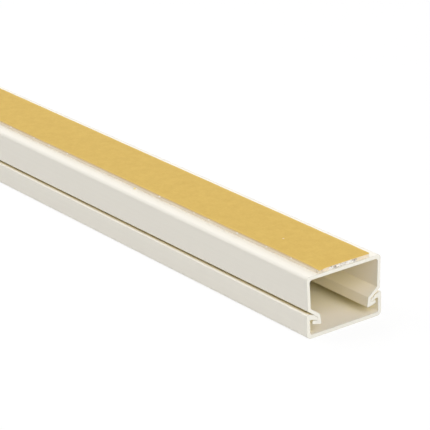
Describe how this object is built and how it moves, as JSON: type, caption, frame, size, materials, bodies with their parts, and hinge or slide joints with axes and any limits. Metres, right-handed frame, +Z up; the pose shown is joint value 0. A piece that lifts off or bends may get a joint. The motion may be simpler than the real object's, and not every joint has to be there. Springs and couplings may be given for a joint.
{
  "type": "cord cover raceway",
  "caption": "Straight stick of two-piece snap-together plastic cord raceway with an adhesive back under a release liner, for covering and routing cables along a wall.",
  "frame": {"origin": "on the floor under the middle of the stick, at the centre of the cover's outer face", "axes": "+X along the stick, +Y across it, +Z up from the cover's face to the adhesive back"},
  "size_m": [0.4, 0.025, 0.0185],
  "materials": {
    "channel_pvc": "extruded rigid PVC, ivory, satin",
    "cover_pvc": "extruded rigid PVC, ivory, satin",
    "tape_foam": "double-sided foam tape, cream, cut edges",
    "liner_paper": "siliconised release paper, golden yellow"
  },
  "bodies": {
    "channel": {"base_channel": "channel_pvc", "adhesive_tape": "tape_foam", "release_liner": "liner_paper"},
    "cover": {"snap_cover": "cover_pvc"}
  },
  "joints": [
    {"name": "cover_slide", "type": "slide", "parent": "channel", "child": "cover", "axis": [1, 0, 0], "range_m": [-0.38, 0.38]}
  ]
}
